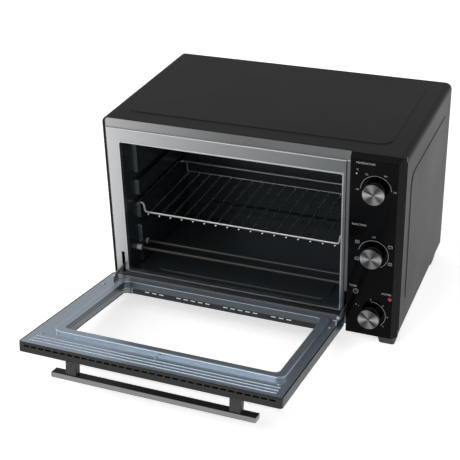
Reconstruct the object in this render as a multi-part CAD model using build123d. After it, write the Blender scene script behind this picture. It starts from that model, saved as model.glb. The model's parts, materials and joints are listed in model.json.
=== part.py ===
from build123d import *
import os
from math import cos, radians, sin

os.makedirs("parts", exist_ok=True)

# A counter-top toaster oven with its drop-down door resting open. Lengths are in millimetres.
# It is drawn from the casing's lower front left corner (X right, Y back, Z up) and moved at
# the end, so that the origin is on the ground under the middle of the whole object.

# ---- driving dimensions: casing ----
width, depth, height = 540, 334, 330
sheet = 1.0                       # casing and cavity steel
casing_corner = 12
hem = 2.5                         # rolled front edge of the casing
emboss = 1.2                      # how far the casing's pressed panels stand proud
panel_y = (32, 308)               # pressed panels on the casing: where they start and end
side_panel_z = (39, 285)
top_panel_x = (28, 504)
panel_corner = 24
foot_height = 26
foot_top = -8.6                   # where the foot's body ends and its stem begins
foot_screw_low = -12              # ledge that the foot's screw head rests on
pan_low = 1.2                     # underside of the base pan

back_screw_places = [(x, z) for x in (8, 180, 360, 532) for z in (8, 322)]
back_screw_radius = 1.6
gland_x, gland_z, gland_radius = 490, 60, 8
foot_places = [(x, y) for x in (20, 520) for y in (15, 300)]

# ---- driving dimensions: front ----
frame_right = 449.6               # where the steel front frame ends and the controls start
frame_low, frame_high = -4, 327.2
frame_sheet = 1.2
frame_step = 2.6                  # the frame's middle stands this far in front of its rim
opening = (30, 434, 25, 284)      # left, right, low, high
opening_corner = 3.5
bead = 1.0                        # raised edge round the opening
fascia_left, fascia_right = 450, 539
fascia_low, fascia_high = -8, 330
fascia_front, fascia_back = -13, -0.3
fascia_wall = 2.5
fascia_bevel = 9.5
overlay = 0.4                     # printed panel on the fascia

# ---- driving dimensions: cavity ----
cavity = (28, 436, 13, 301)       # left, right, low, high, all inside faces
cavity_front, cavity_back = 1.4, 262
cavity_middle = (cavity[0] + cavity[1]) / 2
groove_floor = (95, 141, 187)     # lower lips of the three rack grooves
groove_height = 12
wall_panel_depth = 7              # how far the pressed wall panels stand into the cavity
wall_panel_front, wall_panel_back = 50, 254

# ---- driving dimensions: heating rods ----
rod_radius = 3.3
rod_reach = 215.2                 # from the cavity's middle to a rod's end
lower_rods = ((44, 50.5), (71, 50.5))
upper_rods = ((71, 276), (190, 276))
insulator_radius = 5

# ---- driving dimensions: door, drawn closed as (x, up from its lower edge, out from its inner face)
door_width, door_length = 447, 332
door_gap = 2.5                    # closed door to front frame
door_low = -2
door_case = 17                    # depth of the steel surround
door_depth = 21                   # with the outer glass
door_wall = 2
door_corner = 5                   # rounded corners of the surround and the glass
door_rim = 6                      # width of the flange that the outer glass is glued to
flange_out = 15.5
hinge_up, hinge_out = 8, 14       # hinge axis inside the door
open_angle = 80.3
heel_cut = 1.7                    # bevel that lets the door's heel pass the front frame
top_vents = (33, 13, 10, 4, 7.2)  # slots in the top edge: count, pitch, length, near and far out
low_vent_groups = (3, 5, 5, 3)    # slots near the hinge, in groups
low_vent_pitch, low_vent_gap, vent_half = 14, 34, 4.5
ring = (33, 431, 29.5, 282)       # raised ring on the inner panel
ring_height = 6.5
window = (46, 418, 43.5, 268)
window_corner = 10
ridge_rows = (300, 309, 318)      # pressed ridges near the door's top edge
screw_places = ((20, 290), (223.5, 290), (427, 290), (10.5, 60), (436.5, 60))
screw_head, screw_shank = 3.2, 1.5
lug_left = 8
lug_thickness = 2.5
pivot_radius = 1.4
lug_half = 2.5                    # half the height of a hinge lug
strap_up, strap_out = 34, -7.9    # pin that the hinge strap hangs on
strap_left, strap_thickness = 18, 1.5
strap_length = 66

# ---- driving dimensions: handle, in the same door measures ----
bar = (47, 400, 293, 311)
bar_near, bar_far = 54, 63
bar_middle = (bar[2] + bar[3]) / 2
bar_skin = 1.2
post_middles = (82, 365)
post_width = 19.5
post_height = 14
handle_bore = 2.6                 # holes for the handle screws in posts, core and glass

# ---- driving dimensions: controls ----
knob_x = 493.5
knob_heights = {"temperature": 270, "function": 152.5, "timer": 35}
pointer_angles = {"temperature": 160, "function": 80, "timer": 137}
cap_radius, cap_front = 18.3, -32
knob_radius, knob_back = 15.4, -14.6
shaft_radius, shaft_end = 3, 12
running_clearance = 0.05
lamp = (525, 71)

# ---- driving dimensions: rack ----
rim_radius, wire_radius = 2.2, 1.3
rack_front, rack_rear = 48, 237
rack_high = 143.7                 # rim that slides in the middle grooves
rack_low = 126
rack_half = 199.2                 # from the cavity's middle to the sliding rim
rack_step_in = (188.5, 185)       # where the front rim bends down
wire_count, wire_pitch = 17, 22.3
stub_offset = 3.5                 # rear stubs beyond the outer wires
wire_end = 0.6                    # how far a wire's end shows past the rim

hinge_y = -door_gap - hinge_out
hinge_z = door_low + hinge_up
hinge_axis = Axis((0, hinge_y, hinge_z), (1, 0, 0))
door_middle = door_width / 2
nodes = {}


# ---- small helpers ----
def block(x0, x1, y0, y1, z0, z1):
    return Pos((x0 + x1) / 2, (y0 + y1) / 2, (z0 + z1) / 2) * Box(x1 - x0, y1 - y0, z1 - z0)


def along_x(x0, x1, y, z, radius):
    return Pos((x0 + x1) / 2, y, z) * Rot(0, 90, 0) * Cylinder(radius, x1 - x0)


def along_y(x, y0, y1, z, radius):
    return Pos(x, (y0 + y1) / 2, z) * Rot(90, 0, 0) * Cylinder(radius, y1 - y0)


def along_z(x, y, z0, z1, radius):
    return Pos(x, y, (z0 + z1) / 2) * Cylinder(radius, z1 - z0)


def upright(x0, x1, y0, y1, z0, z1, corner):
    """A plate or block facing the front, with its four corners rounded."""
    face = Plane(origin=((x0 + x1) / 2, y1, (z0 + z1) / 2), x_dir=(1, 0, 0), z_dir=(0, -1, 0))
    return extrude(face * RectangleRounded(x1 - x0, z1 - z0, corner), amount=y1 - y0)


def pressed(plane, across, up, corner, rise, slope=55):
    """A shallow pressed panel that rises from a plane with sloping sides."""
    return extrude(plane * RectangleRounded(across, up, corner), amount=rise, taper=slope)


def other_side(shape, middle):
    return mirror(shape, about=Plane.YZ.offset(middle))


def both_sides(shape, middle):
    return shape.solids() + other_side(shape, middle).solids()


def add(name, *shapes):
    nodes[name] = [solid for shape in shapes for solid in
                   (shape if isinstance(shape, (list, ShapeList)) else shape.solids())]


# ---- casing ----
def make_outer_casing():
    def profile(inset, y0, y1):
        solid = block(inset, width - inset, y0, y1, inset, height - inset)
        tops = solid.edges().filter_by(Axis.Y).sort_by(Axis.Z)[-2:]
        return fillet(tops, max(casing_corner - inset, 2))

    shell = profile(0, 0, depth) - profile(sheet, -1, depth + 1)
    shell += profile(0, 0, 5) - profile(hem, -1, 6)
    shell += profile(0, depth - sheet, depth) - profile(12, depth - 2, depth + 1)
    shell -= block(12, width - 12, -1, depth - sheet, -1, 12)
    shell -= block(-1, width + 1, -1, 6, -1, hem + 0.1)
    shell -= [along_y(x, depth - 2, depth + 1, z, back_screw_radius) for x, z in back_screw_places]
    panel_depth, middle_y = panel_y[1] - panel_y[0], sum(panel_y) / 2
    side_height, middle_z = side_panel_z[1] - side_panel_z[0], sum(side_panel_z) / 2
    top_width, middle_x = top_panel_x[1] - top_panel_x[0], sum(top_panel_x) / 2
    right = Plane(origin=(width, middle_y, middle_z), x_dir=(0, 1, 0), z_dir=(1, 0, 0))
    left = Plane(origin=(0, middle_y, middle_z), x_dir=(0, -1, 0), z_dir=(-1, 0, 0))
    top = Plane(origin=(middle_x, middle_y, height), x_dir=(1, 0, 0), z_dir=(0, 0, 1))
    for plane, across in ((right, panel_depth), (left, panel_depth), (top, top_width)):
        up = side_height if plane is not top else panel_depth
        shell += pressed(plane, across, up, panel_corner, emboss)
        inside = plane.offset(-sheet)
        shell -= pressed(inside, across - 1, up - 1, panel_corner - 0.5, emboss)
    return shell


def make_back_cover():
    plate = upright(1.5, width - 1.5, depth + 0.2, depth + 1.4, 1.5, height - 1.5, casing_corner - 1.5)
    field = Plane(origin=(width / 2, depth + 1.4, height / 2), x_dir=(-1, 0, 0), z_dir=(0, 1, 0))
    louvres = [Pos(x, depth, z) * Box(34, 6, 3)
               for x in range(90, 471, 45) for z in (230, 240, 250, 260, 270)]
    plate -= louvres
    plate -= [along_y(x, depth - 1, depth + 3, z, back_screw_radius) for x, z in back_screw_places]
    plate -= along_y(gland_x, depth - 1, depth + 3, gland_z, gland_radius)
    plate += pressed(field, 420, 120, 10, emboss)
    plate -= pressed(field.offset(-1.2), 419, 119, 9.5, emboss)
    return plate


def make_base_pan():
    pan = block(1.5, width - 1.5, 6, depth - 14, pan_low, 9)
    pan -= block(0, width, 7, depth - 15, pan_low + sheet, 10)
    pan -= [block(x, x + 30, y, y + 4, 0, 3) for x in range(60, 440, 48) for y in range(60, 270, 14)]
    pan -= [along_z(x, y, 0, 3, 2.1) for x, y in foot_places]
    return pan


def make_foot(x, y):
    """A rubber foot with a stem that carries it past the fascia's lower edge."""
    reach = 21 if y < depth / 2 else 14
    lower = Plane.XY.offset(-foot_height) * Pos(x, y - 3) * RectangleRounded(27, 28, 4)
    upper = Plane.XY.offset(foot_top) * Pos(x, y + (14 - reach) / 2) * RectangleRounded(34, 14 + reach, 4)
    foot = loft([lower, upper])
    foot += block(x - 7.5, x + 7.5, y - 9, y + 10, foot_top, pan_low)
    foot -= along_z(x, y, foot_screw_low, 2, 2)
    return foot - along_z(x, y, -foot_height - 1, foot_screw_low, 5)


def make_front_frame():
    left, right, low, high = opening
    plate = upright(2.8, width, frame_step, frame_step + frame_sheet, frame_low - 20, frame_high,
                    casing_corner - hem - 0.3)
    plate -= block(frame_right, width + 1, 0, 9, frame_low - 30, frame_high + 1)
    plate -= block(0, width, 0, 9, frame_low - 30, frame_low)
    raised = block(5, 440.3, 0, frame_step + frame_sheet, frame_low, 309.5)
    fronts = raised.edges().group_by(Axis.Y)[0].filter_by(lambda e: e.center().Z > 1)
    plate += fillet(fronts, 1.1)
    plate -= block(6.2, 439.1, frame_sheet, 9, frame_low - 1, 308.3)
    edge = frame_sheet
    plate += upright(left - edge, right + edge, 0, 9, low - edge, high + edge, opening_corner + edge)
    rim = upright(left - 2.4, right + 2.4, -bead, 0.2, low - 2.4, high + 2.4, opening_corner + 2.4)
    plate += fillet(rim.edges().group_by(Axis.Y)[0], 0.9)
    plate -= upright(left, right, -3, 10, low, high, opening_corner)
    slot = block(16.5, 22.7, -2, 6, 19, 62)
    return plate - slot - other_side(slot, cavity_middle)


# ---- fascia and what sits on it ----
def fascia_solid(inset):
    x0, x1 = fascia_left + inset, fascia_right - inset
    z0, z1 = fascia_low + inset, fascia_high - inset
    y0, y1 = fascia_front + inset, fascia_back
    solid = block(x0, x1, y0, y1, z0, z1)
    reach = fascia_bevel + 1
    right = Pos(x1, y0, 0) * Rot(0, 0, 45) * Box(fascia_bevel * 1.414, fascia_bevel * 1.414, 999)
    top = Pos(0, y0, z1) * Rot(45, 0, 0) * Box(1999, 7 * 1.414, 7 * 1.414)
    return solid - right - top if reach < x1 - x0 else solid


def make_control_fascia():
    shell = fascia_solid(0) - fascia_solid(fascia_wall)
    shell -= block(fascia_left + fascia_wall, fascia_right - fascia_wall, -1, 0,
                   fascia_low + fascia_wall, fascia_high - fascia_wall)
    shell -= [along_y(knob_x, -20, 0, z, 5) for z in knob_heights.values()]
    return shell - along_y(lamp[0], -20, 0, lamp[1], 3.6)


def make_dial_overlay():
    panel = upright(fascia_left + 1.5, fascia_right - fascia_bevel - 0.5, fascia_front - overlay,
                    fascia_front, fascia_low + 1.5, fascia_high - 8, 2)
    panel -= [along_y(knob_x, -20, 0, z, 5) for z in knob_heights.values()]
    return panel - along_y(lamp[0], -20, 0, lamp[1], 3.6)


bracket_screw_places = [(x, z) for x in (458, 530) for z in (13, 212, 314)]


def make_control_bracket():
    plate = block(453, 535, 1, 2.2, 4, 321) + block(453, 454.2, 2.2, 16, 10, 321)
    plate -= [along_y(knob_x, 0, 4, z, 5) for z in knob_heights.values()]
    plate -= [along_y(x, 0, 4, z, 1.6) for x, z in bracket_screw_places]
    return plate - along_y(lamp[0], 0, 4, lamp[1], 4.6)


# ---- cavity ----
def make_side_wall():
    left, _, low, high = cavity
    wall = block(left - sheet, left, cavity_front, cavity_back, low, high)
    levels = [low + 3]
    for floor in groove_floor:
        levels += [floor, floor + groove_height]
    levels.append(high - 4)
    middle_y = (wall_panel_front + wall_panel_back) / 2
    long = wall_panel_back - wall_panel_front
    for z0, z1 in zip(levels[::2], levels[1::2]):
        plane = Plane(origin=(left, middle_y, (z0 + z1) / 2), x_dir=(0, 1, 0), z_dir=(1, 0, 0))
        wall += pressed(plane, long, z1 - z0, 5, wall_panel_depth, 12)
        wall -= pressed(plane.offset(-sheet), long - 1.6, z1 - z0 - 1.6, 4.2, wall_panel_depth, 12)
    for y, z in lower_rods + upper_rods:
        wall -= along_x(left - 4, left + 12, y, z, insulator_radius)
    return wall


def make_cavity_plate(low_side):
    left, right, low, high = cavity
    z0 = low - sheet if low_side else high
    plate = block(left - sheet, right + sheet, cavity_front, cavity_back, z0, z0 + sheet)
    middle_y = (cavity_front + cavity_back) / 2
    top = Plane(origin=(cavity_middle, middle_y, z0 + sheet), x_dir=(1, 0, 0), z_dir=(0, 0, 1))
    plate += pressed(top, 340, 190, 20, 1.6)
    return plate - pressed(top.offset(-sheet), 339, 189, 19.5, 1.6)


def make_cavity_back():
    left, right, low, high = cavity
    plate = block(left - sheet, right + sheet, cavity_back, cavity_back + sheet, low - sheet, high + sheet)
    face = Plane(origin=(cavity_middle, cavity_back + sheet, (low + high) / 2), x_dir=(-1, 0, 0),
                 z_dir=(0, 1, 0))
    plate += pressed(face, 350, 220, 30, 6, 20)
    return plate - pressed(face.offset(-sheet), 348.6, 218.6, 29.3, 6, 20)


def make_rods(places):
    solids = []
    for y, z in places:
        rod = along_x(cavity_middle - rod_reach + 6, cavity_middle + rod_reach - 6, y, z, rod_radius)
        rod += along_x(cavity_middle - rod_reach, cavity_middle + rod_reach, y, z, 1.6)
        solids += rod.solids()
    return solids


def make_insulator(y, z):
    left = cavity[0]
    bush = along_x(left - 1.4, left + wall_panel_depth + 1.6, y, z, insulator_radius)
    return bush - along_x(left - 2, left + 12, y, z, rod_radius)


# ---- hinges ----
def make_lug():
    x0, x1 = lug_left, lug_left + lug_thickness
    plate = block(x0, x1, hinge_y, 0, hinge_z - lug_half, hinge_z + lug_half)
    plate += along_x(x0, x1, hinge_y, hinge_z, lug_half)
    return plate - along_x(x0 - 1, x1 + 1, hinge_y, hinge_z, pivot_radius)


def make_pivot_bush():
    x0, x1 = lug_left + 3.8, lug_left + 7.8
    holder = door_block(x0, x1, door_wall, hinge_up + 4.5, 6, flange_out)
    holder += door_block(x0, x1, door_rim, hinge_up + 4.5, flange_out, door_case)
    return holder - along_x(x0 - 1, x1 + 1, hinge_y, hinge_z, pivot_radius + running_clearance)


def strap_pin_place():
    """The strap's pin with the door open, as Y and Z."""
    turn = radians(open_angle)
    out, up = hinge_out - strap_out, strap_up - hinge_up
    return (hinge_y + out * cos(turn) - up * sin(turn), hinge_z + out * sin(turn) + up * cos(turn))


def make_strap():
    y, z = strap_pin_place()
    x0, x1 = strap_left, strap_left + strap_thickness
    strap = block(x0, x1, y, y + strap_length, z - 3.5, z + 3.5)
    strap += along_x(x0, x1, y, z, 4.6)
    strap += along_x(x0, x1, y + strap_length, z, 3.5)
    strap -= along_x(x0 - 1, x1 + 1, y + strap_length, z, 1.5)
    return strap - along_x(x0 - 1, x1 + 1, y, z, 2 + running_clearance)


def make_strap_bracket():
    x0, x1 = 20.2, 21.7
    plate = door_block(x0, x1, strap_up - 9, strap_up + 9, strap_out, 0)
    plate += door_along_x(x0, x1, strap_up, strap_out, 4.5)
    plate += door_block(x0, x1 + 9, strap_up - 9, strap_up - 5, -1.2, 0)
    return plate - door_along_x(x0 - 1, x1 + 1, strap_up, strap_out, 2)


spring_front, spring_rear, spring_radius, spring_wire = 32, 150, 3.6, 0.8


def make_spring():
    """An extension spring, hooked to the strap's inner end; its coils are one closed tube."""
    _, z = strap_pin_place()
    x = strap_left + strap_thickness / 2
    coils = along_y(x, spring_front + 6, spring_rear - 6, z, spring_radius)
    coils -= along_y(x, spring_front + 5, spring_rear - 5, z, spring_radius - spring_wire)
    for y0, y1 in ((spring_front, spring_front + 7), (spring_rear - 7, spring_rear)):
        coils += along_y(x, y0, y1, z + spring_radius - spring_wire, spring_wire)
    return coils


def make_spring_anchor():
    _, z = strap_pin_place()
    tab = block(cavity[0] - sheet - 9, cavity[0] - sheet, spring_rear + 0.3, spring_rear + 1.8, z - 8, z + 8)
    return tab


# ---- door, drawn closed and then swung open ----
def door_block(x0, x1, up0, up1, out0, out1):
    return block(x0, x1, -door_gap - out1, -door_gap - out0, door_low + up0, door_low + up1)


def door_upright(x0, x1, up0, up1, out0, out1, corner):
    return upright(x0, x1, -door_gap - out1, -door_gap - out0, door_low + up0, door_low + up1, corner)


def door_along_x(x0, x1, up, out, radius):
    return along_x(x0, x1, -door_gap - out, door_low + up, radius)


def door_along_out(x, up, out0, out1, radius):
    return along_y(x, -door_gap - out1, -door_gap - out0, door_low + up, radius)


def lug_notch():
    return door_block(lug_left - 1, lug_left + lug_thickness + 1, -1, hinge_up + 5, -8, door_case + 0.1)


def vent_middles(groups, pitch, gap):
    """Middles of a row of slots in groups, centred on the door."""
    places, x = [], 0
    for count in groups:
        places += [x + pitch * i for i in range(count)]
        x = places[-1] + gap
    shift = door_middle - (places[0] + places[-1]) / 2
    return [x + shift for x in places]


def make_door_frame():
    frame = door_upright(0, door_width, 0, door_length, 0, door_case, door_corner)
    frame -= door_block(door_wall, door_width - door_wall, door_wall, door_length - door_wall, -1, flange_out)
    frame -= door_block(door_rim, door_width - door_rim, door_rim, door_length - door_rim, 15, door_case + 1)
    frame -= Pos(door_middle, -door_gap, door_low) * Rot(45, 0, 0) * Box(999, heel_cut, heel_cut)
    count, pitch, slot, near, far = top_vents
    frame -= [door_block(x - slot / 2, x + slot / 2, door_length - 3, door_length + 1, near, far)
              for x in vent_middles((count,), pitch, 0)]
    frame -= [door_block(x - vent_half, x + vent_half, -1, 3, 7, 10)
              for x in vent_middles(low_vent_groups, low_vent_pitch, low_vent_gap)]
    frame -= door_block(-1, door_width + 1, -1, 1.2, -1, 1.2)
    return frame - lug_notch() - other_side(lug_notch(), door_middle)


def make_inner_panel():
    edge = door_wall + 0.3
    panel = door_block(edge, door_width - edge, 4.3, door_length - edge, 0, sheet)
    left, right, low, high = ring
    raised = door_upright(left, right, low, high, -ring_height, sheet, window_corner + 4)
    top_edges = raised.edges().group_by(Axis.Y)[-1]
    panel += fillet(top_edges, 2.4)
    panel -= door_upright(left + 1, right - 1, low + 1, high - 1, -ring_height + 1, sheet + 1,
                          window_corner + 3)
    left, right, low, high = window
    panel += door_upright(left - 1, right + 1, low - 1, high + 1, -ring_height + 0.3, 6, window_corner + 1)
    panel -= door_upright(left, right, low, high, -ring_height - 1, 7, window_corner)
    for up in ridge_rows:
        ridge = door_block(14, door_width - 14, up - 2, up + 2, -1.3, 0.5)
        panel += fillet(ridge.edges().group_by(Axis.Y)[-1], 1.2)
    panel -= [door_along_out(x, up, -1, 2, screw_shank) for x, up in screw_places]
    return panel - lug_notch() - other_side(lug_notch(), door_middle)


def make_window_spacer():
    """A perforated steel band between the panel and the outer glass."""
    left, right, low, high = window
    band = door_upright(left - 3, right + 3, low - 3, high + 3, 6.2, door_case, window_corner + 3)
    band -= door_upright(left - 2, right + 2, low - 2, high + 2, 6, door_case + 1, window_corner + 2)
    for x in vent_middles(low_vent_groups, low_vent_pitch, low_vent_gap):
        band -= [door_block(x - vent_half, x + vent_half, up - 3, up + 3, 7.4, 10.6)
                 for up in (low - 2, high + 2)]
    return band


def make_outer_glass():
    pane = door_upright(0.5, door_width - 0.5, 0.5, door_length - 0.5, door_case, door_depth,
                        door_corner)
    pane = chamfer(pane.edges().group_by(Axis.Y)[0], 0.8)
    return pane - [door_along_out(x, bar_middle, 16, 22, handle_bore) for x in post_middles]


def make_handle_core():
    core = door_block(bar[0] + bar_skin, bar[1] - bar_skin, bar[2] + bar_skin, bar[3] - bar_skin,
                      bar_near, bar_far - bar_skin)
    return core - [door_along_out(x, bar_middle, bar_near - 1, bar_far - 4, handle_bore) for x in post_middles]


def make_handle_skin():
    skin = door_block(*bar, bar_near, bar_far)
    skin = chamfer(skin.edges().group_by(Axis.Y)[0], 0.6)
    return skin - door_block(bar[0] + bar_skin, bar[1] - bar_skin, bar[2] + bar_skin,
                             bar[3] - bar_skin, bar_near - 1, bar_far - bar_skin)


def make_post(x):
    half = post_width / 2
    low, high = bar_middle - post_height / 2, bar_middle + post_height / 2
    post = door_block(x - half, x + half, low, high, door_depth, bar_near)
    post = fillet(post.edges().filter_by(Axis.Y), 1.5)
    return post - door_along_out(x, bar_middle, door_depth - 1, bar_near + 1, handle_bore)


def make_handle_screw(x):
    screw = door_along_out(x, bar_middle, door_case - 3, door_case, 5)
    return screw + door_along_out(x, bar_middle, door_case - 1, bar_far - 4.5, handle_bore - 0.1)


def make_panel_screw(x, up):
    return door_along_out(x, up, -1, 0, screw_head) + door_along_out(x, up, -1, 6, screw_shank)


# ---- knobs and what they turn ----
def make_knob(z):
    body = along_y(knob_x, cap_front + 3, knob_back, z, knob_radius)
    body = fillet(body.edges().group_by(Axis.Y)[-1], 1)
    return body - along_y(knob_x, cap_front + 6, 0, z, shaft_radius)


def make_cap(z, pointer):
    cap = along_y(knob_x, cap_front, cap_front + 7, z, cap_radius)
    cap = fillet(cap.edges().group_by(Axis.Y)[0], 1.4)
    ridge = Pos(knob_x, cap_front, z) * Rot(0, -pointer, 0) * Box(2 * cap_radius - 4, 2, 2)
    cap += ridge
    return cap - along_y(knob_x, cap_front + 3, cap_front + 8, z, knob_radius)


def make_shaft(z):
    shaft = along_y(knob_x, cap_front + 6, shaft_end, z, shaft_radius)
    return shaft - block(knob_x + 1.8, knob_x + 4, cap_front, -14, z - 4, z + 4)


def bore(z):
    return along_y(knob_x, 0, shaft_end + 0.4, z, shaft_radius + running_clearance)


def make_thermostat(z):
    body = block(knob_x - 22, knob_x + 22, 2.2, 26, z - 17, z + 17)
    body += block(knob_x - 26, knob_x - 22, 8, 12, z - 6, z + 6)
    return body - bore(z)


def make_function_switch(z):
    body = along_y(knob_x, 2.2, 34, z, 21) + block(knob_x - 12, knob_x + 12, 34, 40, z - 12, z + 12)
    return body - bore(z)


def make_timer(z):
    return block(knob_x - 25, knob_x + 25, 2.2, 34, z - 22, z + 22) - bore(z)


def make_bell(z):
    bell = along_y(knob_x, 36, 46, z, 20) - along_y(knob_x, 35, 45, z, 19)
    return bell + along_y(knob_x, 34, 46.5, z, 3)


def make_lamp():
    x, z = lamp
    return along_y(x, fascia_front + 0.4, 14, z, 3.4) + along_y(x, 2.3, 6, z, 6)


def make_lamp_lens():
    x, z = lamp
    dome = Pos(x, fascia_front + 0.4, z) * Sphere(3.4)
    return dome - block(x - 9, x + 9, fascia_front + 0.4, 9, z - 9, z + 9)


# ---- rack ----
def half_rim(y, deep):
    """Half of the rack's rim, from its middle to the side: front with a step, or rear and level."""
    x = cavity_middle
    if deep:
        points = [(x, y, rack_low), (x - rack_step_in[1], y, rack_low),
                  (x - rack_step_in[0], y, rack_high), (x - rack_half, y, rack_high),
                  (x - rack_half, (rack_front + rack_rear) / 2, rack_high)]
        radii = [4, 4, 4]
    else:
        points = [(x, y, rack_high), (x - rack_half, y, rack_high),
                  (x - rack_half, (rack_front + rack_rear) / 2, rack_high)]
        radii = [10]
    path = FilletPolyline(*points, radius=radii)
    start = Plane(origin=points[0], z_dir=(-1, 0, 0))
    return sweep(start * Circle(rim_radius), path=path)


wire_z = rack_low - rim_radius - wire_radius
rear_wire_y = rack_rear - 3
rear_wire_z = wire_z + 2 * wire_radius
outer_wire = wire_pitch * (wire_count - 1) / 2


def make_rack_rim():
    """The bent rim, with the low rear wire and the two stubs that carry it."""
    left = half_rim(rack_front, True) + half_rim(rack_rear, False)
    stub = cavity_middle - outer_wire - stub_offset
    left += along_x(stub, cavity_middle, rear_wire_y, rear_wire_z, wire_radius)
    left += along_z(stub, rear_wire_y, rear_wire_z, rack_high, wire_radius)
    left += Pos(stub, rear_wire_y, rear_wire_z) * Sphere(wire_radius)
    return left + other_side(left, cavity_middle)


def make_rack_wires():
    """Cross wires, welded under the front rim and the low rear wire."""
    front, rear = rack_front - rim_radius - wire_end, rear_wire_y + 2
    return [along_y(cavity_middle - outer_wire + wire_pitch * i, front, rear, wire_z, wire_radius)
            for i in range(wire_count)]


# ---- the pieces, body by body ----
add("outer_casing", make_outer_casing())
add("back_cover", make_back_cover())
add("base_pan", make_base_pan())
add("feet", *[make_foot(x, y) for x, y in foot_places])
add("foot_screws", *[along_z(x, y, foot_screw_low - 2, 6, 1.9)
                     + along_z(x, y, foot_screw_low - 2.5, foot_screw_low, 4) for x, y in foot_places])
add("front_frame", make_front_frame())
add("control_fascia", make_control_fascia())
add("dial_overlay", make_dial_overlay())
add("control_bracket", make_control_bracket())
add("bracket_screws", *[along_y(x, -0.8, 1, z, 3) + along_y(x, -0.5, 8, z, 1.5)
                        for x, z in bracket_screw_places])
add("heat_shield", block(450.4, 451.4, 20, 320, 16, 318))
add("cavity_left_wall", make_side_wall())
add("cavity_right_wall", other_side(make_side_wall(), cavity_middle))
add("cavity_ceiling", make_cavity_plate(False))
add("cavity_floor", make_cavity_plate(True))
add("cavity_back", make_cavity_back())
add("lower_heating_rods", make_rods(lower_rods))
add("upper_heating_rods", make_rods(upper_rods))
add("rod_insulators", *[both_sides(make_insulator(y, z), cavity_middle)
                        for y, z in lower_rods + upper_rods])
add("thermostat", make_thermostat(knob_heights["temperature"]))
add("function_switch", make_function_switch(knob_heights["function"]))
add("timer", make_timer(knob_heights["timer"]))
add("timer_bell", make_bell(knob_heights["timer"]))
add("indicator_lamp", make_lamp())
add("lamp_lens", make_lamp_lens())
add("terminal_block", block(470, 510, 290, 310, 2.2, 22) + block(464, 516, 295, 305, 2.2, 6))
add("cord_gland", along_y(gland_x, depth - 8, depth + 2.6, gland_z, gland_radius - 0.2)
    + along_y(gland_x, depth + 1.4, depth + 3.4, gland_z, gland_radius + 4)
    - along_y(gland_x, depth - 9, depth + 4, gland_z, 4))
add("back_screws", *[along_y(x, depth + 1.4, depth + 3.4, z, screw_head)
                     + along_y(x, depth - 7, depth + 2, z, back_screw_radius)
                     for x, z in back_screw_places])
add("hinge_lugs", both_sides(make_lug(), door_middle))
add("pivot_pins", both_sides(along_x(lug_left - 0.7, lug_left + 7.6, hinge_y, hinge_z, pivot_radius),
                             door_middle))
add("hinge_springs", both_sides(make_spring(), cavity_middle))
add("spring_anchors", both_sides(make_spring_anchor(), cavity_middle))
root_names = list(nodes)

add("door_frame", make_door_frame())
add("door_inner_panel", make_inner_panel())
add("window_spacer", make_window_spacer())
add("outer_glass", make_outer_glass())
add("handle_core", make_handle_core())
add("handle_skin", make_handle_skin())
add("handle_posts", *[make_post(x) for x in post_middles])
add("handle_screws", *[make_handle_screw(x) for x in post_middles])
add("panel_screws", *[make_panel_screw(x, up) for x, up in screw_places])
add("pivot_bushes", both_sides(make_pivot_bush(), door_middle))
add("strap_brackets", both_sides(make_strap_bracket(), cavity_middle))
strap_pin = door_along_x(strap_left - 1.2, 21.7, strap_up, strap_out, 2)
add("strap_pins", both_sides(strap_pin, cavity_middle))
for name in [n for n in nodes if n not in root_names]:
    nodes[name] = [solid.rotate(hinge_axis, open_angle) for solid in nodes[name]]

add("hinge_straps", both_sides(make_strap(), cavity_middle))
add("rack_rim", make_rack_rim())
add("rack_wires", *make_rack_wires())
for name, z in knob_heights.items():
    add(name + "_knob", make_knob(z))
    add(name + "_cap", make_cap(z, pointer_angles[name]))
    add(name + "_shaft", make_shaft(z))

# ---- origin: on the ground, under the middle of the whole object ----
whole = Compound([solid for solids in nodes.values() for solid in solids]).bounding_box()
place = Pos(-whole.center().X, -whole.center().Y, -whole.min.Z)
for name, solids in nodes.items():
    piece = solids[0] if len(solids) == 1 else Compound(solids)
    export_step(place * piece, f"parts/{name}.step")

print("nodes", len(nodes), "size", whole.size)
print("moved by", place.position)
print("hinge", hinge_y, hinge_z, "strap pin", strap_pin_place())
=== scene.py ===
# %% [markdown]
# # A toaster oven with its door open
# The oven's metalwork, glass and wire come in as a fixed frame of solid parts. This lesson gives each
# of them its finish and models the small things that a solid frame leaves out: spun dial caps, the
# printed scales, screw heads with cross recesses, coiled hinge springs and the black print on the glass.

# %% Load the frame
import bmesh
import bpy
import json
from math import cos, pi, radians, sin
from mathutils import Matrix, Vector


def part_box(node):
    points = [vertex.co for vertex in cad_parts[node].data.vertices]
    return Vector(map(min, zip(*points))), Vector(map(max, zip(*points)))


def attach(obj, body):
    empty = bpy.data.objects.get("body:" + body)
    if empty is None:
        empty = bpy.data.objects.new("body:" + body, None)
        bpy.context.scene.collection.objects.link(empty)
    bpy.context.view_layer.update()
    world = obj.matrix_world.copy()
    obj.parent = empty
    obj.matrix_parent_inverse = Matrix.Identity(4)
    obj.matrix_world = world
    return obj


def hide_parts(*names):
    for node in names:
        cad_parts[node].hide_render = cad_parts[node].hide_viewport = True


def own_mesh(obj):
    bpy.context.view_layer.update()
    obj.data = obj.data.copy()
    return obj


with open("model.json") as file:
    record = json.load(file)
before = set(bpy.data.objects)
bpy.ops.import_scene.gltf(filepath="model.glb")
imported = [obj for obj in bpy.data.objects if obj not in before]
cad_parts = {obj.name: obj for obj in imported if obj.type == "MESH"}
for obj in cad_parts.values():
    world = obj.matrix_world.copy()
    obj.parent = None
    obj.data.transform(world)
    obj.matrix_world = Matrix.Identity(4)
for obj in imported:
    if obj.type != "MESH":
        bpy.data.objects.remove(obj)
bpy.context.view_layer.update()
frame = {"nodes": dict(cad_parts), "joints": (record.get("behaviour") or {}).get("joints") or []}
nodes = frame["nodes"]

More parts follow.
